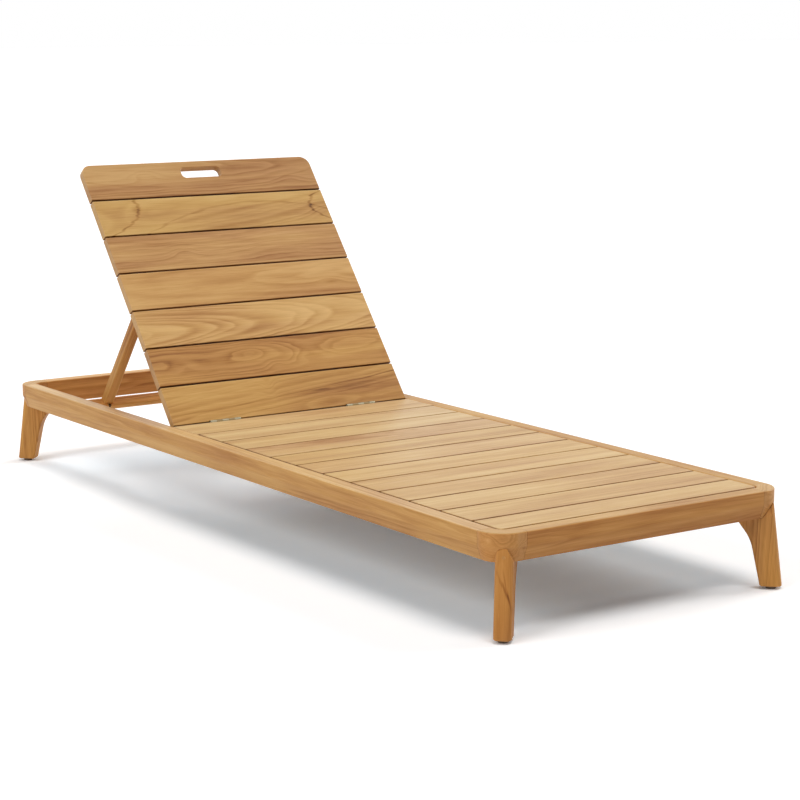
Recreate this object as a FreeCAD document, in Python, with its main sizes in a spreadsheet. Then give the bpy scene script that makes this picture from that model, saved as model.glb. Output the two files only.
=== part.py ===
import FreeCAD, Part
import os
import re
import Sketcher
from FreeCAD import Placement, Rotation, Vector

# Adjustable teak chaise longue. Millimetres and degrees, +Z up, floor at z = 0,
# +X towards the foot, -X towards the head, near side at -Y.

doc = FreeCAD.newDocument("chaise_longue")
sizes = doc.addObject("Spreadsheet::Sheet", "sizes")

driving = {
    # Frame
    "length": 2000,
    "width": 710,
    "rail_top": 200,
    "rail_height": 56,
    "rail_width": 35,
    "rail_face": 28,
    "rail_bevel": 10.4,
    "rail_round": 3,
    "rail_soft": 12,
    "corner_radius": 52,
    "side_arm": 56,
    "end_arm_near": 70,
    "end_arm_far": 57,
    # Legs
    "leg_thickness": 34,
    "leg_shift": 11.3,
    "leg_foot_width": 43,
    "leg_splay": 19.6,
    "leg_set_in": 0.6,
    "leg_knee_height": 100.3,
    "leg_knee_inset": 43.75,
    "leg_curve": 90,
    "leg_ear_width": 75.5,
    "leg_tenon": 27,
    "leg_round": 10,
    "leg_inner_round": 5,
    "leg_foot_ease": 2,
    "leg_arch_width": 11,
    "leg_arch_height": 25,
    "glide_height": 6,
    "glide_radius": 10,
    # Seat deck
    "slat_count": 11,
    "slat_gap": 4,
    "slat_thickness": 18,
    "last_slat_trim": 16.2,
    "end_gap": 3.5,
    "edge_round": 1.5,
    "edge_ease": 1,
    "hinge_board_width": 108.2,
    "cross_rail_width": 35,
    "ledger_width": 20,
    "ledger_height": 18,
    "bearer_width": 40,
    "bearer_height": 30,
    # Backrest
    "rest_angle": 51.73,
    "back_length": 710.9,
    "head_gap": 8.4,
    "board_count": 7,
    "board_gap": 4,
    "board_thickness": 18,
    "back_corner": 25,
    "slot_length": 110,
    "slot_height": 29,
    "slot_from_top": 18,
    "slot_round": 11,
    "batten_width": 23,
    "batten_depth": 24,
    "batten_start": 14,
    "batten_stop": 56,
    # Hinges
    "hinge_length": 79,
    "hinge_inset": 170,
    "barrel_radius": 4,
    "barrel_room": 0.6,
    "leaf_thickness": 1.6,
    "leaf_height": 17,
    "knuckle_gap": 0.4,
    "hinge_pin_radius": 1.5,
    "running_gap": 0.05,
    # Prop and racks
    "prop_offset": 3.65,
    "prop_lag": 0.97,
    "bar_stow": 20.3,
    "bar_width": 28,
    "bar_thickness": 14,
    "bar_forward": 4,
    "bar_round": 2.5,
    "bar_end_gap": 6,
    "strut_width": 23,
    "strut_thickness": 22,
    "strut_inset": 62.5,
    "strut_ease": 1.5,
    "strut_embed": 3,
    "bolt_radius": 4,
    "bolt_head_radius": 7.5,
    "bolt_head_height": 4,
    "bolt_crown_radius": 5,
    "bolt_crown_height": 1.5,
    "collar_radius": 9,
    "side_play": 0.3,
    "strut_gap": 2,
    "rack_width": 20,
    "rack_clearance": 1.6,
    "notch_depth": 5,
    "notch_width": 22,
    "notch_ramp": 12,
    "rack_lead": 26,
    "rack_tail": 18,
    "rack_fall": 1.5,
    "notch_step": 13.27,
    "rest_block_length": 30,
    "rest_block_height": 32,
    "rest_block_gap": 6,
    "rest_gap": 0.3,
}

for row, (alias, number) in enumerate(driving.items(), 1):
    sizes.set("A%d" % row, alias)
    sizes.set("B%d" % row, str(number))
    sizes.setAlias("B%d" % row, alias)
doc.recompute()


def bind(text):
    def named(word):
        return "sizes." + word.group() if word.group() in driving else word.group()

    return re.sub(r"[a-z_]+", named, text)


def at(text):
    return float(sizes.evalExpression(bind(text)))


# Derived places, as expressions of the driving sizes
bottom = "(rail_top - rail_height)"
knee = "(rail_top - rail_face)"
inner_y = "(width / 2 - rail_width)"
inner_x = "(length / 2 - rail_width)"
centre_x = "(length / 2 - corner_radius)"
centre_y = "(width / 2 - corner_radius)"
hinge_x = "(-length / 2 + rail_width + head_gap + back_length)"
slat_end = f"({inner_y} - end_gap)"
slat_under = "(rail_top - slat_thickness)"
hinge_board_head = f"({hinge_x} + board_gap / 2)"
hinge_board_foot = f"({hinge_board_head} + hinge_board_width)"
cross_rail_head = f"({hinge_board_head} + leaf_thickness)"
cross_rail_foot = f"({cross_rail_head} + cross_rail_width)"
hinge_y = "(width / 2 - hinge_inset)"
strut_y = f"({inner_y} - strut_inset)"
reach = "(back_length - bar_stow)"
pivot_s = f"({reach} / 2 + prop_offset)"
strut_length = f"({reach} / 2 - prop_offset)"
pivot_depth = "(board_thickness + batten_depth / 2)"
bar_front = "(bar_width / 2 + bar_forward)"
bar_back = "(bar_width / 2 - bar_forward)"


def pivot_at(angle):
    along = f"({hinge_x} - {pivot_s} * cos({angle}) - {pivot_depth} * sin({angle}))"
    up = f"(rail_top + {pivot_s} * sin({angle}) - {pivot_depth} * cos({angle}))"
    return along, up


def bar_at(angle):
    along, up = pivot_at(angle)
    return (f"({along} - {strut_length} * cos({angle} + prop_lag))",
            f"({up} - {strut_length} * sin({angle} + prop_lag))")


# The bar's lowest corner, and the land of the rack just below it
def corner_at(angle):
    turn = f"({angle} + prop_lag)"
    along, up = bar_at(angle)
    ahead = f"({bar_front} * sin({turn}) - bar_thickness / 2 * cos({turn}))"
    below = (f"({bar_front} * cos({turn}) + bar_thickness / 2 * sin({turn})"
             f" - bar_round * (cos({turn}) + sin({turn}) - 1))")
    return f"({along} + {ahead})", f"({up} - {below} - rack_clearance)"


# Modelling helpers

def new_body(label):
    body = doc.addObject("PartDesign::Body", label)
    body.Label = label
    return body


def outline(body, role, corners, offset="0"):
    plane = [feature for feature in body.Origin.OriginFeatures if feature.Role == role][0]
    sketch = body.newObject("Sketcher::SketchObject", "outline")
    sketch.AttachmentSupport = [(plane, "")]
    sketch.MapMode = "FlatFace"
    sketch.setExpression("AttachmentOffset.Base.z", bind(offset))
    points = [Vector(at(across), at(up), 0) for across, up in corners]
    count = len(points)
    sketch.addGeometry([Part.LineSegment(points[i], points[(i + 1) % count]) for i in range(count)])
    for i in range(count):
        sketch.addConstraint(Sketcher.Constraint("Coincident", i, 2, (i + 1) % count, 1))
    for i, pair in enumerate(corners):
        for kind, text in zip(("DistanceX", "DistanceY"), pair):
            index = sketch.addConstraint(Sketcher.Constraint(kind, -1, 1, i, 1, at(text)))
            sketch.setExpression("Constraints[%d]" % index, bind(text))
    return sketch


def pad(body, sketch, length, side="One side", backwards=False):
    feature = body.newObject("PartDesign::Pad", "pad")
    feature.Profile = sketch
    feature.SideType = side
    feature.Reversed = backwards
    feature.setExpression("Length", bind(length))
    doc.recompute()
    return feature


def pocket_through(body, sketch):
    before = body.Shape.Volume
    feature = body.newObject("PartDesign::Pocket", "pocket")
    feature.Profile = sketch
    feature.SideType = "Symmetric"
    feature.Type = "ThroughAll"
    doc.recompute()
    if not feature.Shape.Volume < before:
        raise RuntimeError(body.Label + ": the pocket cuts nothing")
    return feature


def edges_where(feature, test, steep=False):
    names = []
    for index, edge in enumerate(feature.Shape.Edges, 1):
        middle = edge.valueAt((edge.FirstParameter + edge.LastParameter) / 2)
        points = [middle] + [vertex.Point for vertex in edge.Vertexes]
        level = max(p.z for p in points) - min(p.z for p in points) < 1
        if all(test(point) for point in points) and not (steep and level):
            names.append("Edge%d" % index)
    if not names:
        raise RuntimeError(feature.Name + ": no edge to round")
    return names


def rounded(body, feature, radius, test, steep=False):
    fillet = body.newObject("PartDesign::Fillet", "fillet")
    fillet.Base = (feature, edges_where(feature, test, steep))
    fillet.setExpression("Radius", bind(radius))
    doc.recompute()
    return fillet


def eased(body, feature, size, test):
    chamfer = body.newObject("PartDesign::Chamfer", "chamfer")
    chamfer.Base = (feature, edges_where(feature, test))
    chamfer.setExpression("Size", bind(size))
    doc.recompute()
    return chamfer


def near(a, b):
    return abs(a - b) < 1e-4


def turn_about_y(thing, base, angle):
    thing.Placement = Placement(Vector(), Rotation(Vector(0, 1, 0), at(angle)))
    for axis, text in zip("xyz", base):
        thing.setExpression("Placement.Base." + axis, bind(text))
    thing.setExpression("Placement.Rotation.Angle", bind(angle))


def block(label, x, y, z):
    body = new_body(label)
    plan = [(x[0], y[0]), (x[1], y[0]), (x[1], y[1]), (x[0], y[1])]
    return body, pad(body, outline(body, "XY_Plane", plan, z[0]), f"({z[1]}) - ({z[0]})")


def on_height(text):
    height = at(text)
    return lambda p: near(p.z, height)


# A stick of timber, its long edges chamfered, or rounded where a radius is given
def stick(label, x, y, z, radius=None):
    body, timber = block(label, x, y, z)
    spans = [(at(low), at(high)) for low, high in (x, y, z)]
    longest = max(range(3), key=lambda i: abs(spans[i][1] - spans[i][0]))

    def long_edge(p):
        place = (p.x, p.y, p.z)
        sides = [i for i in range(3) if i != longest]
        return all(near(place[i], spans[i][0]) or near(place[i], spans[i][1]) for i in sides)

    if radius:
        rounded(body, timber, radius, long_edge)
    else:
        eased(body, timber, "edge_ease", long_edge)
    return body


# Rounds the edges of a board's upper face and chamfers those of its lower face
def finish_board(body, feature, z):
    shown = rounded(body, feature, "edge_round", on_height(z[1]))
    eased(body, shown, "edge_ease", on_height(z[0]))
    return body


def board(label, x, y, z):
    return finish_board(*block(label, x, y, z), z)


def rod_along_y(name, radius, start, length, x, z, flats=0):
    rod = doc.addObject("Part::Prism" if flats else "Part::Cylinder", name)
    rod.Placement = Placement(Vector(), Rotation(Vector(1, 0, 0), -90))
    if flats:
        rod.Polygon = flats
    rod.setExpression("Circumradius" if flats else "Radius", bind(radius))
    rod.setExpression("Height", bind(length))
    for axis, text in zip("xyz", (x, start, z)):
        rod.setExpression("Placement.Base." + axis, bind(text))
    return rod


def joined(label, pieces):
    fuse = doc.addObject("Part::MultiFuse", label)
    fuse.Shapes = pieces
    fuse.Label = label
    return fuse


def cut(label, base, tool):
    result = doc.addObject("Part::Cut", label)
    result.Base = base
    result.Tool = tool
    result.Label = label
    return result


nodes = []


def keep(thing):
    nodes.append(thing)
    return thing


sides = {"near": "-1", "far": "1"}
ends = {"head": "-1", "foot": "1"}


# Rails: upright upper face, lower face bevelled inwards, softened knee

def rail_section(outer):
    return [(outer, "rail_top"), (outer, knee), (f"{outer} - rail_bevel", bottom),
            (f"{outer} - rail_width", bottom), (f"{outer} - rail_width", "rail_top")]


def mirrored(sign, corners):
    return [(f"{sign} * ({across})", up) for across, up in corners]


def soften_rail(body, feature, across, outer):
    outside = at(outer)
    inside = outside - at("rail_width")
    tops = rounded(body, feature, "rail_round", lambda p: near(p.z, at("rail_top"))
                   and (near(across(p), outside) or near(across(p), inside)))
    return rounded(body, tops, "rail_soft", lambda p: near(p.z, at(knee)) and near(across(p), outside))


for side, sign in sides.items():
    body = keep(new_body("side_rail_" + side))
    section = mirrored(sign, rail_section("width / 2"))
    bar = pad(body, outline(body, "YZ_Plane", section, "-(length / 2 - side_arm)"), "length - 2 * side_arm")
    soften_rail(body, bar, lambda p: abs(p.y), "width / 2")

for end, sign in ends.items():
    body = keep(new_body(end + "_rail"))
    section = outline(body, "XZ_Plane", mirrored(sign, rail_section("length / 2")),
                      "-(width / 2 - end_arm_far)")
    bar = pad(body, section, "width - end_arm_near - end_arm_far")
    soften_rail(body, bar, lambda p: abs(p.x), "length / 2")


# Legs: splayed blades along the diagonal of each corner, shifted towards the end rail,
# drawn in the plane of distance from the corner's centre (across) and height

foot_out = "(corner_radius + leg_splay)"
leg_top = "(corner_radius - leg_set_in)"
leg_profile = [
    (f"{foot_out} - leg_foot_width", "glide_height"), (foot_out, "glide_height"),
    (leg_top, knee), ("corner_radius - leg_tenon", knee),
    ("corner_radius - leg_tenon", bottom), ("corner_radius - leg_ear_width", bottom),
    ("corner_radius - leg_knee_inset", "leg_knee_height")]


def leg(label, x, y, angle, hand):
    body = new_body(label)
    profile = outline(body, "XZ_Plane", leg_profile, f"-({hand}) * leg_shift")
    blade = pad(body, profile, "leg_thickness", "Symmetric")
    bend = at("corner_radius - leg_knee_inset")
    curve = rounded(body, blade, "leg_curve", lambda p: near(p.x, bend) and near(p.z, at("leg_knee_height")))
    middle = at(f"{hand} * leg_shift")
    half = at("leg_thickness / 2")
    tenon = at("corner_radius - leg_tenon")
    front = at(leg_top)

    def outer_arris(p):
        return near(abs(p.y - middle), half) and p.x > front - 1

    def inner_arris(p):
        return near(abs(p.y - middle), half) and p.x < front - 1 and not near(p.x, tenon)

    outside = rounded(body, curve, "leg_round", outer_arris, steep=True)
    inside = rounded(body, outside, "leg_inner_round", inner_arris, steep=True)
    eased(body, inside, "leg_foot_ease", on_height("glide_height"))
    edge = f"{hand} * (leg_shift + leg_thickness / 2)"
    pocket_through(body, outline(body, "YZ_Plane", [
        (edge, f"{knee} - leg_arch_height"), (edge, knee), (f"{edge} - ({hand}) * leg_arch_width", knee)]))
    body.Placement = Placement(Vector(), Rotation(Vector(0, 0, 1), angle))
    body.setExpression("Placement.Base.x", bind(x))
    body.setExpression("Placement.Base.y", bind(y))
    doc.recompute()
    return body


# Corner blocks: the rail section turned through a quarter circle, with a short arm
# at each end, slotted from below for the leg

def corner_block(label, x, y, angle, arm_one, arm_two):
    body = new_body(label)
    section = rail_section("corner_radius")
    bend = body.newObject("PartDesign::Revolution", "bend")
    bend.Profile = outline(body, "XZ_Plane", section)
    bend.ReferenceAxis = (bend.Profile[0], ["V_Axis"])
    bend.Angle = 90
    doc.recompute()
    if bend.Shape.BoundBox.YMin < -1:
        bend.Reversed = True
        doc.recompute()
    pad(body, outline(body, "XZ_Plane", section), arm_one)
    block = pad(body, outline(body, "YZ_Plane", section), arm_two, backwards=True)

    def across(p):
        if p.y < 0:
            return p.x
        return p.y if p.x < 0 else (p.x ** 2 + p.y ** 2) ** 0.5

    soften_rail(body, block, across, "corner_radius")
    body.Placement = Placement(Vector(), Rotation(Vector(0, 0, 1), angle))
    body.setExpression("Placement.Base.x", bind(x))
    body.setExpression("Placement.Base.y", bind(y))
    doc.recompute()
    return body


arm_side = "side_arm - corner_radius"
arm_near = "end_arm_near - corner_radius"
arm_far = "end_arm_far - corner_radius"
corners = [
    ("foot_far", "1", "1", 0, arm_far, arm_side, "-1"), ("head_far", "-1", "1", 90, arm_side, arm_far, "1"),
    ("head_near", "-1", "-1", 180, arm_near, arm_side, "-1"),
    ("foot_near", "1", "-1", 270, arm_side, arm_near, "1")]
glide_out = f"({foot_out} - leg_foot_width / 2)"

for name, sign_x, sign_y, angle, arm_one, arm_two, hand in corners:
    x = f"{sign_x} * {centre_x}"
    y = f"{sign_y} * {centre_y}"
    blade = keep(leg("leg_" + name, x, y, angle + 45, hand))
    blank = corner_block("blank_corner_" + name, x, y, angle, arm_one, arm_two)
    keep(cut("corner_block_" + name, blank, blade))
    glide = keep(doc.addObject("Part::Cylinder", "foot_glide_" + name))
    glide.setExpression("Radius", bind("glide_radius"))
    glide.setExpression("Height", bind("glide_height"))
    towards_end = f"({glide_out} + leg_shift) * cos(45)"
    towards_side = f"({glide_out} - leg_shift) * cos(45)"
    glide.setExpression("Placement.Base.x", bind(f"{sign_x} * ({centre_x} + {towards_end})"))
    glide.setExpression("Placement.Base.y", bind(f"{sign_y} * ({centre_y} + {towards_side})"))


# Seat deck: hinge board, slats, and what carries them

across_deck = (f"-{slat_end}", slat_end)
between_rails = (f"-{inner_y}", inner_y)
slat_start = f"({hinge_board_foot} + slat_gap)"
slat_stop = f"({inner_x} - end_gap)"
slat_pitch = f"(({slat_stop} - {slat_start} + slat_gap + last_slat_trim) / slat_count)"
deck_depth = (slat_under, "rail_top")
slat_count = int(at("slat_count"))

for i in range(slat_count):
    label = "seat_slat_%02d" % (i + 1)
    low = f"({slat_start} + {i} * {slat_pitch})"
    if i + 1 < slat_count:
        keep(board(label, (low, f"{low} + {slat_pitch} - slat_gap"), across_deck, deck_depth))
    else:
        body, plain = block(label, (low, slat_stop), across_deck, deck_depth)
        turned = rounded(body, plain, "corner_radius - rail_width - end_gap",
                         lambda p: near(p.x, at(slat_stop)) and near(abs(p.y), at(slat_end)))
        keep(finish_board(body, turned, deck_depth))

barrel_seats = joined("barrel_seats", [
    rod_along_y("barrel_seat_" + side, "barrel_radius + barrel_room",
                f"{sign} * {hinge_y} - hinge_length / 2 - barrel_room", "hinge_length + 2 * barrel_room",
                hinge_x, "rail_top") for side, sign in sides.items()])

hinge_blank = board("blank_hinge_board", (hinge_board_head, hinge_board_foot), between_rails, deck_depth)
keep(cut("hinge_board", hinge_blank, barrel_seats))
keep(stick("cross_rail", (cross_rail_head, cross_rail_foot), between_rails, (bottom, slat_under)))
keep(stick("centre_bearer", (cross_rail_foot, inner_x), ("-bearer_width / 2", "bearer_width / 2"),
           (f"{slat_under} - bearer_height", slat_under)))

for side, sign in sides.items():
    reach_y = (f"{sign} * ({inner_y} - ledger_width)", f"{sign} * {inner_y}")
    keep(stick("slat_ledger_" + side, (cross_rail_foot, "length / 2 - side_arm"), reach_y,
               (f"{slat_under} - ledger_height", slat_under)))


# Backrest, drawn flat with the hinge axis at the origin, then raised to its angle

back_base = (hinge_x, "0", "rail_top")
board_pitch = "((back_length - board_gap / 2 + board_gap) / board_count)"
board_under = "-board_thickness"
board_count = int(at("board_count"))


def raised(body):
    turn_about_y(body, back_base, "rest_angle")
    doc.recompute()
    return body


for i in range(board_count):
    label = "back_board_%d" % (i + 1)
    high = f"-(board_gap / 2 + {i} * {board_pitch})"
    low = f"({high} - {board_pitch} + board_gap)"
    depth = (board_under, "0 * board_thickness")
    if i == 0:
        blank = raised(board("blank_back_board", (low, high), across_deck, depth))
        keep(cut(label, blank, barrel_seats))
    elif i + 1 < board_count:
        keep(raised(board(label, (low, high), across_deck, depth)))
    else:
        body, plain = block(label, (low, high), across_deck, depth)
        turned = rounded(body, plain, "back_corner",
                         lambda p: near(p.x, at(low)) and near(abs(p.y), at(slat_end)))
        slot_head = "(slot_from_top - back_length)"
        slot_foot = f"({slot_head} + slot_height)"
        slot_y = ("-slot_length / 2", "slot_length / 2")
        hole = pocket_through(body, outline(body, "XY_Plane", [
            (slot_head, slot_y[0]), (slot_foot, slot_y[0]), (slot_foot, slot_y[1]), (slot_head, slot_y[1])]))
        handle = rounded(body, hole, "slot_round", lambda p: near(abs(p.y), at(slot_y[1]))
                         and (near(p.x, at(slot_head)) or near(p.x, at(slot_foot))))
        keep(raised(finish_board(body, handle, depth)))

batten_x = ("batten_stop - back_length", "-batten_start")
batten_z = ("-board_thickness - batten_depth", board_under)
keep(raised(stick("back_batten_centre", batten_x, ("-batten_width / 2", "batten_width / 2"), batten_z)))

pivot_x, pivot_z = pivot_at("rest_angle")
strut_outer = f"({strut_y} + strut_width / 2)"
batten_inner = f"({strut_outer} + strut_gap)"
batten_outer = f"({batten_inner} + batten_width)"


# A rod about the pivot line of one side, from the inner to the outer distance
def pivot_rod(name, radius, sign, inner, outer, flats=0):
    start = inner if sign == "1" else f"-({outer})"
    return rod_along_y(name, radius, start, f"({outer}) - ({inner})", pivot_x, pivot_z, flats)


for side, sign in sides.items():
    rows = (f"{sign} * {batten_inner}", f"{sign} * {batten_outer}")
    blank = raised(stick("blank_batten_" + side, batten_x, rows, batten_z))
    bore = pivot_rod("batten_bore_" + side, "bolt_radius + running_gap", sign,
                     f"{batten_inner} - 1", f"{batten_outer} + 1")
    keep(cut("back_batten_" + side, blank, bore))
    nut_face = f"({strut_y} - strut_width / 2 - side_play)"
    nut_end = f"({nut_face} - bolt_head_height)"
    head_end = f"({batten_outer} + bolt_head_height)"
    tip_end = f"({nut_end} - bolt_crown_height)"
    crown_end = f"({head_end} + bolt_crown_height)"
    collar_face = f"({strut_outer} + side_play)"
    keep(joined("pivot_bolt_" + side, [
        pivot_rod("bolt_shank_" + side, "bolt_radius", sign, tip_end, batten_outer),
        pivot_rod("bolt_head_" + side, "bolt_head_radius", sign, batten_outer, head_end, 6),
        pivot_rod("bolt_crown_" + side, "bolt_crown_radius", sign, head_end, crown_end),
        pivot_rod("bolt_nut_" + side, "bolt_head_radius", sign, nut_end, nut_face, 6),
        pivot_rod("bolt_collar_" + side, "collar_radius", sign, collar_face, batten_inner)]))


# Butt hinges: the frame leaf carries the odd knuckles and the pin, the backrest leaf the even ones

knuckle = "(hinge_length / 5)"


def hinge_leaf(label, middle, knuckles, face, angle):
    leaf_low = ("-leaf_height", "-barrel_radius - knuckle_gap")
    pieces = []
    rows = [("plate", "-hinge_length / 2", "hinge_length", leaf_low)]
    for k in knuckles:
        start = f"{k} * {knuckle} - hinge_length / 2 + knuckle_gap / 2"
        rows.append(("web%d" % k, start, f"{knuckle} - knuckle_gap", (leaf_low[1], "-hinge_pin_radius")))
        pieces.append(rod_along_y("%s_knuckle%d" % (label, k), "barrel_radius", f"{middle} + {start}",
                                  f"{knuckle} - knuckle_gap", hinge_x, "rail_top"))
    for name, start, length, height in rows:
        plate = doc.addObject("Part::Box", "%s_%s" % (label, name))
        plate.setExpression("Length", bind("leaf_thickness"))
        plate.setExpression("Width", bind(length))
        plate.setExpression("Height", bind(f"({height[1]}) - ({height[0]})"))
        base = (f"{hinge_x} + ({face}) * cos({angle}) + ({height[0]}) * sin({angle})", f"{middle} + {start}",
                f"rail_top - ({face}) * sin({angle}) + ({height[0]}) * cos({angle})")
        turn_about_y(plate, base, angle)
        pieces.append(plate)
    bore = rod_along_y(label + "_bore", "hinge_pin_radius + running_gap", f"{middle} - hinge_length",
                       "2 * hinge_length", hinge_x, "rail_top")
    return cut(label, joined("blank_" + label, pieces), bore)


for side, sign in sides.items():
    middle = f"{sign} * {hinge_y}"
    keep(hinge_leaf("hinge_leaf_frame_" + side, middle, (0, 2, 4), "board_gap / 2 - leaf_thickness", "0"))
    keep(hinge_leaf("hinge_leaf_back_" + side, middle, (1, 3), "-board_gap / 2", "rest_angle"))
    keep(rod_along_y("hinge_pin_" + side, "hinge_pin_radius", f"{middle} - hinge_length / 2", "hinge_length",
                     hinge_x, "rail_top"))


# Prop: two struts let into a cross bar, drawn lying towards the head from the pivot

strut_foot = f"-({strut_length} - bar_thickness / 2 + strut_embed)"
half_strut = "strut_thickness / 2"
strut_profile = [(strut_foot, f"-{half_strut}"), (half_strut, f"-{half_strut}"),
                 (half_strut, half_strut), (strut_foot, half_strut)]
prop_slope = "-(rest_angle + prop_lag)"
bar_half = f"({inner_y} - bar_end_gap)"
bar_piece = stick("blank_prop_bar",
                  (f"-({strut_length} + bar_thickness / 2)", f"-({strut_length} - bar_thickness / 2)"),
                  (f"-{bar_half}", bar_half), (f"-{bar_front}", bar_back), "bar_round")
turn_about_y(bar_piece, (pivot_x, "0", pivot_z), prop_slope)

for side, sign in sides.items():
    body = new_body("blank_strut_" + side)
    plain = pad(body, outline(body, "XZ_Plane", strut_profile), "strut_width", "Symmetric")
    tip = at(half_strut)
    top = rounded(body, plain, f"{half_strut} - running_gap",
                  lambda p: near(p.x, tip) and near(abs(p.z), tip))
    face = at("strut_width / 2")
    foot = at(strut_foot)
    eased(body, top, "strut_ease", lambda p: near(abs(p.y), face) and not (near(p.x, foot) and abs(p.z) < 1))
    turn_about_y(body, (pivot_x, f"{sign} * {strut_y}", pivot_z), prop_slope)
    bore = pivot_rod("strut_bore_" + side, "bolt_radius + running_gap", sign,
                     f"{strut_y} - strut_width", f"{strut_y} + strut_width")
    keep(cut("prop_strut_" + side, body, bore))
    bar_piece = cut("prop_bar_let_in_" + side, bar_piece, body)

bar_piece.Label = "prop_bar"
keep(bar_piece)


# Racks: notched rests under the bar's path, and blocks that the flat backrest lies on

notch_angles = ["(rest_angle + notch_step)", "rest_angle", "(rest_angle - notch_step)",
                "(rest_angle - 2 * notch_step)"]
half_notch = "(notch_width / 2)"
rack_foot = f"{corner_at(notch_angles[0])[0]} + rack_lead"


def rack_profile():
    last = f"{corner_at(notch_angles[-1])[0]} - {half_notch} - rack_tail"
    points = [(rack_foot, bottom), (rack_foot, corner_at(notch_angles[0])[1])]
    for angle in notch_angles:
        middle, land = corner_at(angle)
        points += [(f"{middle} + {half_notch} + notch_ramp", land),
                   (f"{middle} + {half_notch}", f"{land} - notch_depth"),
                   (f"{middle} - {half_notch}", f"{land} - notch_depth"),
                   (f"{middle} - {half_notch}", land)]
    return points + [(last, f"{land} - rack_fall"), (last, bottom)]


block_foot = f"{rack_foot} + rest_block_gap"
block_top = "(rail_top - board_thickness - rest_gap)"

for side, sign in sides.items():
    body = keep(new_body("notched_rack_" + side))
    inner_plane = f"{inner_y} - rack_width" if sign == "-1" else f"-{inner_y}"
    pad(body, outline(body, "XZ_Plane", rack_profile(), inner_plane), "rack_width")
    keep(stick("rest_block_" + side, (block_foot, f"{block_foot} + rest_block_length"),
               (f"{sign} * ({inner_y} - rack_width)", f"{sign} * {inner_y}"),
               (f"{block_top} - rest_block_height", block_top)))


# Check every object, then write one file for each piece

doc.recompute()
for thing in doc.Objects:
    if "Invalid" in thing.State or "Error" in thing.State:
        raise RuntimeError("%s failed: %s" % (thing.Label, thing.State))
for thing in nodes:
    if thing.Shape.isNull() or not thing.Shape.isValid() or len(thing.Shape.Solids) != 1:
        raise RuntimeError(thing.Label + " has no single valid solid")

os.makedirs("parts", exist_ok=True)
for thing in nodes:
    thing.Shape.exportStep("parts/%s.step" % thing.Label)
print(len(nodes), "pieces written")
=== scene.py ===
import math
import random

import bmesh
import bpy
from mathutils import Matrix, Vector


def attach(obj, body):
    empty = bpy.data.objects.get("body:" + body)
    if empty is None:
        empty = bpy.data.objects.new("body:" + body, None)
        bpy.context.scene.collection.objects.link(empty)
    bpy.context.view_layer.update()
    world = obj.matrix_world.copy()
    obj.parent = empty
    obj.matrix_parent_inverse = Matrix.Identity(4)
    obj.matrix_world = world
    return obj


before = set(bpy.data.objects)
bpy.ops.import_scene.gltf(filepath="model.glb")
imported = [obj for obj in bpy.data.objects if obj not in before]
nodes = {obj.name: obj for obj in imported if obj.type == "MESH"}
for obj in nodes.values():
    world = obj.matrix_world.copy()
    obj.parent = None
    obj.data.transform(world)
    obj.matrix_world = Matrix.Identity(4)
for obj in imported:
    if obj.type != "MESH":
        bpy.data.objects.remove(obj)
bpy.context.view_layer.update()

draws = random.Random(11)
print("frame loaded,", len(nodes), "pieces")


def fromScreen(red, green, blue):
    # a colour as seen on screen, in the renderer's linear values
    linear = []
    for part in (red / 255, green / 255, blue / 255):
        linear.append(part / 12.92 if part <= 0.04045 else ((part + 0.055) / 1.055) ** 2.4)
    return (*linear, 1.0)


# shader graphs

class Signal:
    def __init__(self, graph, socket):
        self.graph = graph
        self.socket = socket

    def maths(self, operation, *others):
        return self.graph.add("ShaderNodeMath", {"operation": operation}, dict(enumerate((self, *others))))

    def __add__(self, other):
        return self.maths("ADD", other)

    def __sub__(self, other):
        return self.maths("SUBTRACT", other)

    def __mul__(self, other):
        return self.maths("MULTIPLY", other)

    def __truediv__(self, other):
        return self.maths("DIVIDE", other)

    def __pow__(self, other):
        return self.maths("POWER", other)

    def __abs__(self):
        return self.maths("ABSOLUTE")

    def __rsub__(self, other):
        return self.graph.add("ShaderNodeMath", {"operation": "SUBTRACT"}, {0: other, 1: self})

    __radd__ = __add__
    __rmul__ = __mul__


class Graph:
    def __init__(self, owner):
        owner.use_nodes = True
        self.tree = owner.node_tree
        self.tree.nodes.clear()

    def add(self, kind, settings, inputs, output=0):
        node = self.tree.nodes.new(kind)
        for name, value in settings.items():
            if name == "stops":
                ramp = node.color_ramp
                while len(ramp.elements) < len(value):
                    ramp.elements.new(0.5)
                for element, (position, colour) in zip(ramp.elements, value):
                    element.position = position
                    element.color = colour
            else:
                setattr(node, name, value)
        for name, value in inputs.items():
            if isinstance(value, Signal):
                self.tree.links.new(value.socket, node.inputs[name])
            else:
                node.inputs[name].default_value = value
        outputs = [socket for socket in node.outputs if socket.enabled]
        if not outputs:
            return node
        return Signal(self, outputs[output] if isinstance(output, int) else node.outputs[output])


def clamped(value):
    return value.maths("MAXIMUM", 0.0).maths("MINIMUM", 1.0)


def hump(value, middle, reach):
    # 1 at the middle, falling smoothly to 0 a few reaches away
    far = (value - middle) / reach
    return (far * far * -1.0).maths("EXPONENT")


def band(value, low, high):
    # 0 up to the first value, 1 from the second one on, smooth between
    return value.graph.add("ShaderNodeMapRange", {"interpolation_type": "SMOOTHSTEP"},
                           {"Value": value, "From Min": low, "From Max": high})


def axisPart(vector, axis):
    return vector.graph.add("ShaderNodeSeparateXYZ", {}, {0: vector}, axis)


def noise(vector, scale, detail, output="Fac"):
    inputs = {"Vector": vector, "Scale": scale, "Detail": detail}
    return vector.graph.add("ShaderNodeTexNoise", {}, inputs, output)


def facing(normal, way):
    # 1 where a face looks that way, 0 where it stands square to it
    inputs = {0: normal, 1: way}
    return normal.graph.add("ShaderNodeVectorMath", {"operation": "DOT_PRODUCT"}, inputs, "Value")


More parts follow.
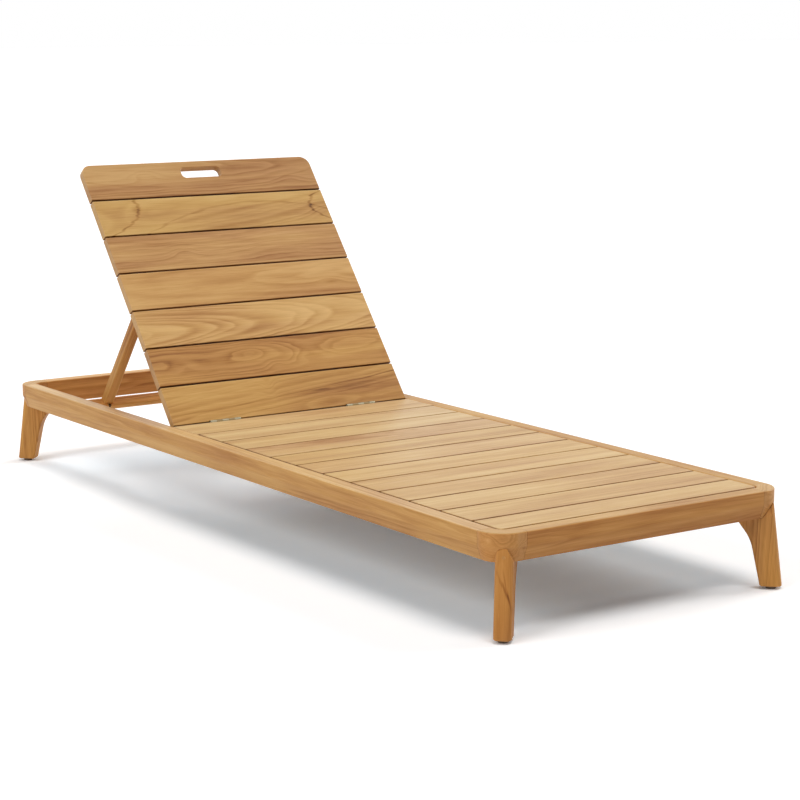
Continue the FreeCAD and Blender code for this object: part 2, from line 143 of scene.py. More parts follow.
def blend(factor, first, second, way="MIX"):
    # the node's inputs 6 and 7 are its two colours
    settings = {"data_type": "RGBA", "blend_type": way}
    return factor.graph.add("ShaderNodeMix", settings, {"Factor": factor, 6: first, 7: second})


def toned(value, stops):
    return value.graph.add("ShaderNodeValToRGB", {"stops": stops}, {"Fac": value}, "Color")


def bumped(height, strength, distance):
    inputs = {"Strength": strength, "Distance": distance, "Height": height}
    return height.graph.add("ShaderNodeBump", {}, inputs)


def finished(graph, inputs):
    surface = graph.add("ShaderNodeBsdfPrincipled", {}, inputs)
    graph.add("ShaderNodeOutputMaterial", {}, {"Surface": surface})


def dress(piece, material):
    piece.data.materials.clear()
    piece.data.materials.append(material)


# camera, light and floor

view = {
    "place": (4.01259, -2.64371, 1.11385),
    "azimuth": 55.355,
    "elevation": 10.028,
    "lens": 98.47,
    "sensor": 36.0,
    "farthest": 200,
}
bpy.ops.object.select_all(action="DESELECT")
bpy.ops.object.camera_add(
    location=view["place"],
    rotation=(math.radians(90 - view["elevation"]), 0, math.radians(view["azimuth"])))
camera = bpy.context.object
camera.data.lens = view["lens"]
camera.data.sensor_width = view["sensor"]
camera.data.clip_end = view["farthest"]
bpy.context.scene.camera = camera
bpy.context.scene.view_settings.view_transform = "Standard"

lampPlace = (0, 0, 4)
lamps = {
    "overhead_box": {"strength": 1.27, "spread": 30, "tilt": (0, 16, 0)},
    "near_side_box": {"strength": 1.34, "spread": 36, "tilt": (58, 0, 0)},
    "far_side_box": {"strength": 1.38, "spread": 36, "tilt": (-58, 0, 0)},
    "head_end_box": {"strength": 0.50, "spread": 40, "tilt": (0, -40, 0)},
}
for name, lamp in lamps.items():
    bpy.ops.object.light_add(type="SUN", location=lampPlace,
                             rotation=[math.radians(angle) for angle in lamp["tilt"]])
    sun = bpy.context.object
    sun.name = name
    sun.data.energy = lamp["strength"]
    sun.data.angle = math.radians(lamp["spread"])

studio = {
    "white": (1.0, 1.0, 1.0, 1.0),
    "dark": (0.0, 0.0, 0.0, 1.0),
    "skyAmbient": 0.11,
    "skySeen": 1.0,
    "floorWhite": (0.90, 0.90, 0.90, 1.0),
    "floorSeen": (1.14, 1.15, 1.16, 1.0),
    # the floor colour and cool glow under the lounger are painted light in its shadow
    "floorUnder": (1.06, 1.12, 1.16, 1.0),
    "shadowGlowUnder": (0.0, 0.05, 0.09, 1.0),
    "coolReach": {"X": (1.08, 0.86), "Y": (0.46, 0.28)},
    "floorSize": 120,
}
world = bpy.data.worlds.new("studio_room")
bpy.context.scene.world = world
room = Graph(world)
seen = room.add("ShaderNodeLightPath", {}, {}, "Is Camera Ray")
for ray in ("Is Glossy Ray", "Is Transmission Ray"):
    seen = seen.maths("MAXIMUM", room.add("ShaderNodeLightPath", {}, {}, ray))
ambient, backdrop = (
    room.add("ShaderNodeBackground", {}, {"Color": studio["white"], "Strength": studio[kind]})
    for kind in ("skyAmbient", "skySeen"))
roomMix = room.add("ShaderNodeMixShader", {}, {0: seen, 1: ambient, 2: backdrop})
room.add("ShaderNodeOutputWorld", {}, {"Surface": roomMix})

bpy.ops.mesh.primitive_plane_add(size=studio["floorSize"], location=(0, 0, 0))
floor = bpy.context.object
floor.name = "studio_floor"
floorPaint = bpy.data.materials.new("studio_floor_white")
paint = Graph(floorPaint)
shown = paint.add("ShaderNodeLightPath", {}, {}, "Is Camera Ray")
# painted light: under the lounger a camera-only cool glow and a changed floor colour turn the wood's warm
# bounce on the shadow to a plain grey
spot = paint.add("ShaderNodeTexCoord", {}, {}, "Object")
cool = shown
for axis, (outer, inner) in studio["coolReach"].items():
    cool = cool * band(abs(axisPart(spot, axis)), outer, inner)
floorTone = blend(shown, studio["floorWhite"], studio["floorSeen"])
floorTone = blend(cool, floorTone, studio["floorUnder"])
glow = blend(cool, studio["dark"], studio["shadowGlowUnder"])
finished(paint, {"Base Color": floorTone, "Roughness": 1.0, "Specular IOR Level": 0.0,
                 "Emission Color": glow, "Emission Strength": 1.0})
floor.data.materials.append(floorPaint)
print("camera, light and floor set")


# teak

restDegrees = 51.73    # the backrest's slope at rest
restAngle = math.radians(restDegrees)
upBack = Vector((-math.cos(restAngle), 0, math.sin(restAngle)))
backFace = Vector((math.sin(restAngle), 0, math.cos(restAngle)))
acrossSeat = Vector((0, 1, 0))
lengthwise = Vector((1, 0, 0))
upward = Vector((0, 0, 1))

teakTones = {
    "golden": [(0.0, (228, 184, 124)), (0.3, (210, 161, 99)), (0.6, (186, 133, 74)),
               (0.85, (146, 96, 48)), (1.0, (100, 62, 28))],
    "rosy": [(0.0, (224, 179, 130)), (0.3, (204, 152, 102)), (0.6, (176, 121, 74)),
             (0.85, (138, 88, 50)), (1.0, (96, 58, 32))],
    "amber": [(0.0, (212, 158, 92)), (0.3, (194, 137, 72)), (0.6, (168, 111, 54)),
              (0.85, (128, 79, 37)), (1.0, (90, 54, 24))],
}
endGrainTone = fromScreen(176, 140, 100)

# a figure's places and lengths are in metres, from the piece's middle along and across its grain
# bulges and spots: place along, place across, length, width, push or darkness
plainGrain = {
    "tone": "golden", "second": "rosy", "blush": 0.25, "tint": (1.0, 1.0, 1.0), "start": 0.25, "seed": 0.0,
    "depth": 0.06, "rise": 0.03, "offset": 0.02, "slant": 0.0, "spacing": 0.006, "sway": 0.010,
    "wobble": 0.0025, "crisp": 0.30, "ring": 0.55, "fibre": 0.40, "streak": 0.34, "belt": 0.40,
    "patch": 0.60, "bulges": [], "veins": [], "spots": [], "seams": [], "entry": None, "rims": {},
    "turned": [],
}
plainVein = {
    "runs": "long", "at": 0.0, "slope": 0.0, "bend": 0.0, "wide": 0.004, "dark": 0.2,
    "middle": 0.0, "reach": 2.0,
}

# each noise's stretch along, across and through the grain, and its detail
woodNoise = {
    "sway": ((2.4, 9.0, 9.0), 2.0),
    "tremor": ((7.0, 90.0, 90.0), 2.0),
    "wobble": ((9.0, 32.0, 32.0), 2.0),
    "drift": ((0.6, 14.0, 14.0), 1.0),
    "fibre": ((18.0, 640.0, 640.0), 2.0),
    "streak": ((3.0, 105.0, 105.0), 3.0),
    "belt": ((0.9, 34.0, 34.0), 1.0),
    "patch": ((2.6, 13.0, 13.0), 2.0),
    "pores": ((38.0, 1500.0, 1500.0), 1.0),
}
noiseMean = 0.5
seedShift = (3.7, 1.9, 2.3)

# how every ring's dark line is drawn
ringMake = {
    "tremor": 0.0022, "drift": 1.6, "unevenRate": 1.9, "uneven": 0.3,
    "thin": {"fall": 6.0, "onset": 0.08}, "soft": {"fall": 1.5, "onset": 0.28},
    "weakest": 0.3, "varies": 0.7,
    "clearBand": (-0.20, 0.16), "clearLeast": 0.45, "clearMore": 0.8,
}

# the marks that darken the wood
markMake = {
    "veinTremor": 4, "veinSway": 0.5, "veinCore": 0.1, "veinBroken": 2.5,
    "spotSway": 0.5, "spotStreaked": 2.5,
    "gapShadeDark": 0.55,
    "seamBand": (0.0003, 0.0010), "seamDark": 0.5,
    "entryBand": (0.0003, 0.0015), "entryDark": 0.40, "entryStreaked": 1.5,
}

# colour and surface of all teak
teakMake = {
    "poreBand": (0.60, 0.76), "poreDark": 0.12,
    "arrisWide": 0.004, "arrisWearAndHighlight": 0.10,
    "blushPatch": 1.6, "blushBelt": 1.2,
    "turnedBand": (0.35, 0.90), "endBand": (0.60, 0.85), "endCover": 0.5,
    "roughness": 0.37, "roughDark": 0.12, "roughFibre": 0.12, "roughArris": 0.05,
    "fibreHigh": 0.6, "lineDeep": 0.35, "poreDeep": 0.5,
    "bump": 0.25, "bumpHigh": 0.0006, "shine": 0.2,
}


def measured(node, along, face):
    # the piece's grain directions, its middle, and its half sizes along them
    along = Vector(along).normalized()
    face = Vector(face)
    face = (face - along * face.dot(along)).normalized()
    across = face.cross(along)
    axes = (along, across, face)
    points = [vertex.co for vertex in node.data.vertices]
    spans = []
    for axis in axes:
        reaches = [axis.dot(point) for point in points]
        spans.append((min(reaches), max(reaches)))
    middle = sum((axis * (low + high) / 2 for axis, (low, high) in zip(axes, spans)), Vector())
    return axes, middle, [(high - low) / 2 for low, high in spans]


class Wood:
    # one piece's grain directions, and the noises that its lines and colours share
    def __init__(self, graph, piece, along, face, grain):
        self.graph = graph
        self.grain = grain
        self.axes, middle, self.half = measured(piece, along, face)
        turn = Matrix(self.axes)
        self.place = graph.add("ShaderNodeTexCoord", {}, {}, "Object")
        self.local = graph.add("ShaderNodeMapping", {"vector_type": "POINT"}, {
            "Vector": self.place, "Location": -(turn @ middle), "Rotation": turn.to_euler("XYZ")})
        self.along, self.across, self.through = (axisPart(self.local, axis) for axis in "XYZ")
        sway = self.varied("sway", "Color")
        self.swayAcross, self.swayDeep, self.swayAlong = (
            (axisPart(sway, axis) - noiseMean) * (2 * grain["sway"]) for axis in "XYZ")
        self.tremor, self.fibre, self.streak, self.belt, self.patch = (
            self.signed(kind) for kind in ("tremor", "fibre", "streak", "belt", "patch"))
        self.pores = band(self.varied("pores"), *teakMake["poreBand"])

    def varied(self, kind, output="Fac"):
        stretch, detail = woodNoise[kind]
        shift = [self.grain["seed"] * step for step in seedShift]
        scaled = self.graph.add("ShaderNodeVectorMath", {"operation": "MULTIPLY_ADD"},
                                {0: self.local, 1: stretch, 2: shift})
        return noise(scaled, 1.0, detail, output)

    def signed(self, kind):
        return self.varied(kind) - noiseMean


def ringLines(wood):
    # yearly rings about a tilted heart line, swayed and pushed aside by bulges
    grain = wood.grain
    across = wood.across - grain["offset"] - wood.along * grain["slant"] + wood.swayAcross
    deep = wood.along * grain["rise"] + grain["depth"] - wood.through + wood.swayDeep
    wobble = wood.signed("wobble") * (2 * grain["wobble"])
    radius = (across * across + deep * deep).maths("SQRT") + wood.tremor * ringMake["tremor"] + wobble
    for atAlong, atAcross, long, wide, push in grain["bulges"]:
        bulge = hump(wood.along + wood.swayAlong, atAlong, long)
        radius = radius + bulge * hump(wood.across + wood.swayDeep, atAcross, wide) * push
    turns = radius / grain["spacing"] + wood.varied("drift") * ringMake["drift"]
    rings = turns + (turns * ringMake["unevenRate"]).maths("SINE") * ringMake["uneven"]
    phase = rings.maths("FRACT")
    strength = wood.graph.add("ShaderNodeTexWhiteNoise", {"noise_dimensions": "1D"},
                              {"W": rings.maths("FLOOR") + grain["seed"]}, "Value")
    thin, soft = (
        (1 - phase) ** ringMake[kind]["fall"] * band(phase, 0.0, ringMake[kind]["onset"])
        for kind in ("thin", "soft"))
    clear = band(wood.patch, *ringMake["clearBand"]) * ringMake["clearMore"] + ringMake["clearLeast"]
    mixed = thin * grain["crisp"] + soft * (1 - grain["crisp"])
    return mixed * (strength * ringMake["varies"] + ringMake["weakest"]) * clear


def veinShade(wood, vein):
    onward, aside = (wood.across, wood.along) if vein["runs"] == "up" else (wood.along, wood.across)
    course = onward * vein["slope"] + onward * onward * vein["bend"] + vein["at"]
    shaken = wood.tremor * (vein["wide"] * markMake["veinTremor"])
    gap = abs(aside - course + shaken + wood.swayAlong * markMake["veinSway"])
    shade = 1 - band(gap, vein["wide"] * markMake["veinCore"], vein["wide"])
    shade = shade * hump(onward, vein["middle"], vein["reach"])
    return shade * (wood.tremor * markMake["veinBroken"] + 1.0) * vein["dark"]


def entryShade(wood, block):
    # the dark line where a leg comes out of its corner block
    off = [axisPart(wood.place, axis) - centre for axis, centre in zip("XY", block["centre"])]
    height = axisPart(wood.place, "Z")
    rim = (block["knee"] - height).maths("MAXIMUM", 0.0) * -block["taper"] + block["radius"]
    gap = (off[0] * off[0] + off[1] * off[1]).maths("SQRT") - rim
    line = (1 - band(gap, *markMake["entryBand"])) * band(height, *block["above"])
    return line * (wood.streak * markMake["entryStreaked"] + markMake["entryDark"])


def marked(wood, depth):
    # the veins, spots, joint lines and painted shade on the edges beside the gaps that a figure asks for
    grain = wood.grain
    for change in grain["veins"]:
        depth = depth + veinShade(wood, {**plainVein, **change})
    for atAlong, atAcross, long, wide, dark in grain["spots"]:
        swayed = wood.across + wood.swayDeep * markMake["spotSway"]
        shade = hump(wood.along, atAlong, long) * hump(swayed, atAcross, wide)
        depth = depth + shade * (wood.streak * markMake["spotStreaked"] + 1.0) * dark
    # the edges beside the gaps between boards and slats are darkened: painted shade in the gaps
    edges = {"ends": (wood.along, wood.half[0]), "sides": (wood.across, wood.half[1])}
    for edge, wide in grain["rims"].items():
        value, reach = edges[edge]
        depth = depth + band(abs(value), reach - wide, reach) * markMake["gapShadeDark"]
    for axis, position in grain["seams"]:
        gap = abs(axisPart(wood.place, axis) - position)
        depth = depth + (1 - band(gap, *markMake["seamBand"])) * markMake["seamDark"]
    if grain["entry"]:
        depth = depth + entryShade(wood, grain["entry"])
    return depth


def tinted(tone, tint):
    stops = []
    for position, screen in teakTones[tone]:
        linear = fromScreen(*screen)
        stops.append((position, (*(value * share for value, share in zip(linear, tint)), 1.0)))
    return stops


def woodColour(wood, depth):
    grain = wood.grain
    first, second = (toned(depth, tinted(grain[kind], grain["tint"])) for kind in ("tone", "second"))
    blush = wood.patch * teakMake["blushPatch"] + wood.belt * teakMake["blushBelt"] + grain["blush"]
    colour = blend(clamped(blush), first, second)
    normal = wood.graph.add("ShaderNodeTexCoord", {}, {}, "Normal")
    # painted light and shade: faces turned one way are made paler or darker than the rest, as light falls on
    # them
    for way, tint in grain["turned"]:
        faced = band(facing(normal, way), *teakMake["turnedBand"])
        colour = blend(faced, colour, (*tint, 1.0), "MULTIPLY")
    endways = band(abs(facing(normal, wood.axes[0])), *teakMake["endBand"])
    return blend(endways * (wood.fibre + teakMake["endCover"]), colour, endGrainTone)


def teak(piece, along, face, **changes):
    grain = {**plainGrain, **changes}
    material = bpy.data.materials.new("teak_" + piece.name)
    graph = Graph(material)
    wood = Wood(graph, piece, along, face, grain)
    line = ringLines(wood)
    depth = line * grain["ring"] + wood.fibre * grain["fibre"] + wood.streak * grain["streak"]
    depth = depth + wood.belt * grain["belt"] + wood.patch * grain["patch"]
    depth = marked(wood, depth + wood.pores * teakMake["poreDark"] + grain["start"])
    # paler arrises: sanded wear and a painted highlight on the rounded edges
    beside, above = (
        band(abs(value), reach - teakMake["arrisWide"], reach)
        for value, reach in ((wood.across, wood.half[1]), (wood.through, wood.half[2])))
    arris = beside * above
    depth = clamped(depth - arris * teakMake["arrisWearAndHighlight"])
    roughness = depth * teakMake["roughDark"] + wood.fibre * teakMake["roughFibre"]
    relief = wood.fibre * teakMake["fibreHigh"] - line * teakMake["lineDeep"]
    relief = relief - wood.pores * teakMake["poreDeep"]
    finished(graph, {
        "Base Color": woodColour(wood, depth),
        "Roughness": roughness + arris * teakMake["roughArris"] + teakMake["roughness"],
        "Normal": bumped(relief, teakMake["bump"], teakMake["bumpHigh"]),
        "Specular IOR Level": teakMake["shine"]})
    dress(piece, material)


def stepped(figure, index):
    # the figure with a seed of its own for each piece of a row
    return {**figure, "seed": figure["seed"] + figure["seedStep"] * index}


# the boards of the backrest, from the hinge to the handle, each with its own figure
# the boards' sides next to the gaps are darkened: painted shade
boardGapShade = {"sides": 0.0008}
backBoards = {
    "back_board_1": {
        "depth": 0.045, "rise": -0.030, "offset": -0.045, "slant": 0.10, "spacing": 0.0100, "sway": 0.009,
        "start": 0.29, "ring": 0.60, "blush": 0.15, "tint": (0.91, 0.91, 0.76), "seed": 1.3,
        "bulges": [(-0.038, 0.020, 0.018, 0.026, 0.012), (0.10, -0.03, 0.06, 0.02, -0.006)],
        "veins": [{"at": -0.004, "slope": 0.085, "bend": 0.06, "wide": 0.0040, "dark": 0.20},
                  {"at": -0.026, "slope": 0.10, "wide": 0.0034, "dark": 0.18}],
        "spots": [(0.16, -0.008, 0.10, 0.006, 0.14), (-0.20, -0.020, 0.09, 0.007, 0.12)]},
    "back_board_2": {
        "depth": 0.038, "rise": 0.05, "offset": 0.006, "spacing": 0.0080, "sway": 0.020, "wobble": 0.005,
        "start": 0.31, "ring": 0.60, "blush": 0.30, "tint": (0.88, 0.84, 0.68), "seed": 2.9,
        "bulges": [(0.095, 0.0, 0.065, 0.030, 0.018), (-0.06, 0.018, 0.05, 0.022, -0.012),
                   (-0.24, 0.004, 0.03, 0.016, 0.010), (0.0, -0.02, 0.03, 0.018, 0.010)],
        "spots": [(-0.245, 0.004, 0.016, 0.005, 0.24), (0.105, 0.002, 0.012, 0.006, 0.16),
                  (-0.09, 0.016, 0.07, 0.010, 0.12)]},
    "back_board_3": {
        "depth": 0.062, "rise": 0.110, "offset": -0.006, "slant": 0.03, "spacing": 0.0075, "sway": 0.007,
        "start": 0.15, "ring": 0.62, "crisp": 0.15, "blush": 0.10, "tint": (0.96, 0.99, 0.95), "seed": 4.1},
    "back_board_4": {
        "depth": 0.046, "rise": -0.060, "offset": 0.010, "spacing": 0.0120, "sway": 0.009, "patch": 0.80,
        "start": 0.20, "ring": 0.60, "crisp": 0.15, "blush": 0.05, "tint": (0.90, 0.88, 0.82), "seed": 5.3,
        "bulges": [(0.24, -0.010, 0.04, 0.014, 0.010)],
        "spots": [(0.240, -0.013, 0.022, 0.006, 0.30), (-0.24, 0.016, 0.035, 0.018, 0.12)]},
    "back_board_5": {
        "depth": 0.070, "rise": 0.02, "offset": 0.060, "spacing": 0.0075, "sway": 0.014, "wobble": 0.004,
        "start": 0.34, "ring": 0.50, "streak": 0.55, "blush": 0.85, "tint": (0.92, 0.95, 0.88), "seed": 6.7,
        "bulges": [(-0.125, -0.004, 0.035, 0.020, 0.014), (0.12, -0.01, 0.08, 0.03, 0.010)],
        "spots": [(-0.128, -0.008, 0.014, 0.006, 0.16), (-0.20, 0.024, 0.10, 0.008, 0.10)]},
    "back_board_6": {
        "depth": 0.046, "rise": 0.03, "offset": 0.030, "slant": 0.12, "spacing": 0.0110, "sway": 0.010,
        "start": 0.23, "ring": 0.30, "crisp": 0.15, "streak": 0.20, "belt": 0.20, "blush": 0.05,
        "tint": (0.93, 0.98, 0.88), "seed": 8.2,
        "bulges": [(-0.27, 0.0, 0.06, 0.04, 0.020), (0.31, -0.01, 0.05, 0.03, 0.016)],
        "veins": [{"runs": "up", "at": -0.218, "slope": 0.80, "bend": -14.0, "wide": 0.0075, "dark": 0.36},
                  {"runs": "up", "at": 0.268, "slope": -0.30, "bend": 26.0, "wide": 0.0075, "dark": 0.36},
                  {"at": 0.015, "slope": 0.17, "bend": -0.75, "wide": 0.0040, "dark": 0.18}],
        "spots": [(-0.212, 0.018, 0.010, 0.012, 0.22), (0.27, 0.0, 0.008, 0.014, 0.16)]},
    "back_board_7": {
        "depth": 0.060, "rise": 0.030, "offset": 0.030, "spacing": 0.0090, "sway": 0.014, "wobble": 0.004,
        "start": 0.25, "ring": 0.58, "patch": 0.80, "blush": 0.35, "tint": (0.83, 0.81, 0.79), "seed": 9.6,
        "bulges": [(0.24, -0.012, 0.05, 0.025, 0.012), (-0.16, 0.012, 0.04, 0.018, 0.010)],
        "veins": [{"at": -0.024, "slope": 0.02, "bend": 0.30, "wide": 0.0035, "dark": 0.14}]},
}
for name, figure in backBoards.items():
    teak(nodes[name], acrossSeat, backFace, rims=boardGapShade, **figure)
print("backrest boards grained")

# the seat's slats, straighter, and paler next to the backrest
seatSlats = {
    "count": 11,
    "drawn": {"spacing": (0.0035, 0.0060), "depth": (0.05, 0.12), "offset": (-0.09, 0.09),
              "rise": (-0.03, 0.03), "start": (0.20, 0.26), "blush": (0.0, 0.50)},
    "grain": {"ring": 0.34, "streak": 0.42, "belt": 0.36, "patch": 0.50, "sway": 0.006,
              "rims": {"sides": 0.0030, "ends": 0.0012}, "seed": 10.0, "seedStep": 1.7},
    "tint": (0.868, 0.976, 1.06), "nextToBack": (1.02, 1.095, 1.28), "fades": 5,
}
for index in range(1, seatSlats["count"] + 1):
    drawn = {key: draws.uniform(*span) for key, span in seatSlats["drawn"].items()}
    share = max(0.0, 1 - (index - 1) / seatSlats["fades"])
    tint = [base * (1 + share * (more - 1))
            for base, more in zip(seatSlats["tint"], seatSlats["nextToBack"])]
    teak(nodes["seat_slat_%02d" % index], acrossSeat, upward, tint=tint, **drawn,
         **stepped(seatSlats["grain"], index))

hingeBoard = {"depth": 0.05, "rise": 0.05, "spacing": 0.006, "start": 0.23, "seed": 31.0,
              "tint": (0.911, 1.098, 1.37), "rims": {"sides": 0.0020}}
teak(nodes["hinge_board"], acrossSeat, upward, **hingeBoard)
print("seat deck grained")

# the frame's rails, with the glued joints beside the corner blocks
joints = {"side": 0.944, "near": -0.285, "far": 0.298}
sideSeams = [("X", joints["side"]), ("X", -joints["side"])]
endSeams = [("Y", joints["near"]), ("Y", joints["far"])]
# each rail's tint for faces turned upward is painted light on its top: painted sheen on the near, head and
# foot rails, painted shade on the far rail
rails = {
    "side_rail_near": {
        "along": lengthwise, "face": (0, -1, 0), "depth": 0.05, "rise": 0.020, "offset": 0.004,
        "spacing": 0.0085, "start": 0.28, "tint": (0.87, 0.82, 0.66), "seams": sideSeams, "seed": 41.0,
        "turned": [(upward, (1.12, 1.38, 2.10))]},
    "side_rail_far": {
        "along": lengthwise, "face": (0, 1, 0), "depth": 0.06, "rise": -0.015, "offset": 0.01,
        "spacing": 0.0075, "tint": (0.93, 0.90, 0.76), "seams": sideSeams, "seed": 43.0,
        "turned": [(upward, (0.89, 0.94, 0.90))]},
    "head_rail": {
        "along": acrossSeat, "face": (-1, 0, 0), "depth": 0.05, "rise": 0.03, "offset": -0.005,
        "spacing": 0.0075, "streak": 0.55, "start": 0.40, "blush": 0.5, "tint": (1.0, 0.88, 0.68),
        "seams": endSeams, "seed": 45.0, "turned": [(upward, (1.00, 1.18, 1.40))]},
    "foot_rail": {
        "along": acrossSeat, "face": (1, 0, 0), "depth": 0.045, "rise": 0.045, "offset": -0.006,
        "spacing": 0.0080, "streak": 0.55, "start": 0.40, "blush": 0.45, "tint": (0.80, 0.65, 0.47),
        "spots": [(-0.165, 0.014, 0.045, 0.010, 0.26), (-0.02, 0.002, 0.09, 0.006, 0.16)],
        "seams": endSeams, "seed": 47.0, "turned": [(upward, (1.09, 1.44, 1.95))]},
}
for name, figure in rails.items():
    teak(nodes[name], **figure)

# the corners: a block round each, and a leg that comes out of it
# each leg's tint evens out how the lamps light it: painted shade on the near foot leg, painted light on the
# other three legs
corners = {
    "foot_near": {"outward": (1, -1, 0), "hand": 1, "legTint": (0.90, 0.83, 0.72)},
    "foot_far": {"outward": (1, 1, 0), "hand": -1, "legTint": (1.07, 1.07, 0.95)},
    "head_near": {"outward": (-1, -1, 0), "hand": -1, "legTint": (1.07, 1.10, 0.92)},
    "head_far": {"outward": (-1, 1, 0), "hand": 1, "legTint": (1.07, 1.07, 0.95)},
}
cornerMiddle = (0.948, 0.303)
# the corner blocks' tint for faces turned upward paints their tops paler: painted light
cornerBlocks = {
    "tone": "amber", "second": "golden", "blush": 0.4, "depth": 0.034, "rise": 0.06, "offset": 0.020,
    "spacing": 0.0065, "sway": 0.006, "ring": 0.60, "start": 0.22, "tint": (0.90, 0.82, 0.75),
    "seed": 51.0, "seedStep": 1.0, "turned": [(upward, (0.99, 1.23, 1.50))],
    "spots": [(0.0385, -0.002, 0.0036, 0.0028, 0.50), (-0.0227, 0.0146, 0.005, 0.004, -0.20)],
    "bulges": [(0.0385, -0.002, 0.009, 0.009, 0.018), (-0.0227, 0.0146, 0.018, 0.010, 0.014)],
}
legs = {
    "tone": "amber", "second": "rosy", "blush": 0.1, "depth": 0.045, "rise": 0.16, "offset": 0.006,
    "spacing": 0.0085, "sway": 0.007, "ring": 0.60, "patch": 0.65, "start": 0.28,
    "seed": 61.0, "seedStep": 1.3,
}
legSplay = 0.12
legEntry = {"radius": 0.052, "knee": 0.172, "taper": 0.37, "above": (0.140, 0.146)}
legVeins = {"foot_near": [
    {"at": -0.0044, "slope": 0.415, "bend": 1.2, "wide": 0.0040, "dark": 0.30,
     "middle": 0.006, "reach": 0.034},
    {"at": -0.0069, "slope": 0.23, "wide": 0.0028, "dark": 0.24, "middle": 0.010, "reach": 0.030},
    {"at": -0.0125, "wide": 0.0024, "dark": 0.22, "middle": -0.050, "reach": 0.035}]}
for index, (name, corner) in enumerate(corners.items()):
    corner["out"] = Vector(corner["outward"]).normalized()
    corner["tangent"] = upward.cross(corner["out"])
    corner["centre"] = [sign * reach for sign, reach in zip(corner["outward"], cornerMiddle)]
    teak(nodes["corner_block_" + name], corner["tangent"], corner["out"], **stepped(cornerBlocks, index))
    teak(nodes["leg_" + name], upward - corner["out"] * legSplay, corner["out"], tint=corner["legTint"],
         veins=legVeins.get(name, []), entry={**legEntry, "centre": corner["centre"]},
         **stepped(legs, index))
print("frame and legs grained")

# what is behind and below
supports = {
    "back_batten_centre": upBack, "back_batten_near": upBack, "back_batten_far": upBack,
    "cross_rail": acrossSeat, "centre_bearer": lengthwise, "slat_ledger_near": lengthwise,
    "slat_ledger_far": lengthwise, "notched_rack_near": lengthwise, "notched_rack_far": lengthwise,
    "rest_block_near": lengthwise, "rest_block_far": lengthwise, "prop_bar": acrossSeat,
}
supportTint = (1.12, 1.02, 0.78)
supportGrain = {"depth": 0.05, "rise": 0.02, "offset": 0.03, "spacing": 0.006, "tint": supportTint,
                "seed": 71.0, "seedStep": 1.9}
for index, (name, along) in enumerate(supports.items()):
    face = backFace if along is upBack else upward
    teak(nodes[name], along, face, **stepped(supportGrain, index))

# the struts' faces turned to the near side are darkened: painted shade
struts = {"face": (0, -1, 0), "depth": 0.04, "rise": 0.01, "offset": 0.02, "spacing": 0.006, "start": 0.36,
          "tint": supportTint, "turned": [(-acrossSeat, (0.74, 0.74, 0.72))], "seed": 95.0, "seedStep": 1.0}
strutSteeper = 0.97    # degrees beyond the backrest's slope
propSlope = math.radians(restDegrees + strutSteeper)
strutAlong = Vector((math.cos(propSlope), 0, math.sin(propSlope)))
for index, name in enumerate(("prop_strut_near", "prop_strut_far")):
    teak(nodes[name], strutAlong, **stepped(struts, index))
print("supports grained")


# metal and glides

metalMake = {
    "brushed": (2600.0, 90.0, 2600.0), "brushDetail": 2.0, "brushDull": 0.5,
    "speckles": 420.0, "speckleDetail": 3.0, "dullest": 0.62, "rougher": 0.18,
    "bump": 0.15, "bumpHigh": 0.0002,
}


def metal(name, colour, roughness, speckle):
    material = bpy.data.materials.new(name)
    graph = Graph(material)
    place = graph.add("ShaderNodeTexCoord", {}, {}, "Object")
    brushed = graph.add("ShaderNodeVectorMath", {"operation": "MULTIPLY"},
                        {0: place, 1: metalMake["brushed"]})
    lines = noise(brushed, 1.0, metalMake["brushDetail"])
    spots = noise(place, metalMake["speckles"], metalMake["speckleDetail"])
    tone = clamped(lines * metalMake["brushDull"] + spots * speckle)
    dull = (*(channel * metalMake["dullest"] for channel in colour[:3]), 1.0)
    finished(graph, {
        "Base Color": blend(tone, colour, dull),
        "Metallic": 1.0,
        "Roughness": tone * metalMake["rougher"] + roughness,
        "Normal": bumped(lines, metalMake["bump"], metalMake["bumpHigh"])})
    return material


steel = metal("brushed_steel", fromScreen(206, 204, 198), roughness=0.30, speckle=0.35)
metals = {
    "hinge_leaf_frame": metal("hinge_steel", fromScreen(168, 159, 133), roughness=0.34, speckle=0.45),
    "hinge_leaf_back": metal("tarnished_steel", fromScreen(146, 126, 92), roughness=0.42, speckle=0.60),
    "hinge_pin": steel,
    "pivot_bolt": steel,
}
for name in nodes:
    for start, finish in metals.items():
        if name.startswith(start):
            dress(nodes[name], finish)

glides = {
    "stops": [(0.3, fromScreen(96, 84, 72)), (0.7, fromScreen(122, 108, 94))],
    "mottle": 900.0, "mottleDetail": 3.0, "roughness": 0.62, "bump": 0.3, "bumpHigh": 0.0003,
}
glidePlastic = bpy.data.materials.new("glide_plastic")
plastic = Graph(glidePlastic)
mottle = noise(plastic.add("ShaderNodeTexCoord", {}, {}, "Object"), glides["mottle"], glides["mottleDetail"])
finished(plastic, {
    "Base Color": toned(mottle, glides["stops"]),
    "Roughness": glides["roughness"],
    "Normal": bumped(mottle, glides["bump"], glides["bumpHigh"])})
for name in nodes:
    if name.startswith("foot_glide"):
        dress(nodes[name], glidePlastic)
print("steel and glides finished")


# small fastenings, each kind modelled once and copied

capMake = {"facesUp": 0.9, "level": 1e-6, "smoothBelow": 35}


def pickCap(mesh):
    # the flat cap that faces up, alone
    bpy.ops.mesh.select_all(action="DESELECT")
    shape = bmesh.from_edit_mesh(mesh)
    lowest = max(face.calc_center_median().z for face in shape.faces) - capMake["level"]
    for face in shape.faces:
        if face.normal.z > capMake["facesUp"] and face.calc_center_median().z > lowest:
            face.select_set(True)
    bmesh.update_edit_mesh(mesh)


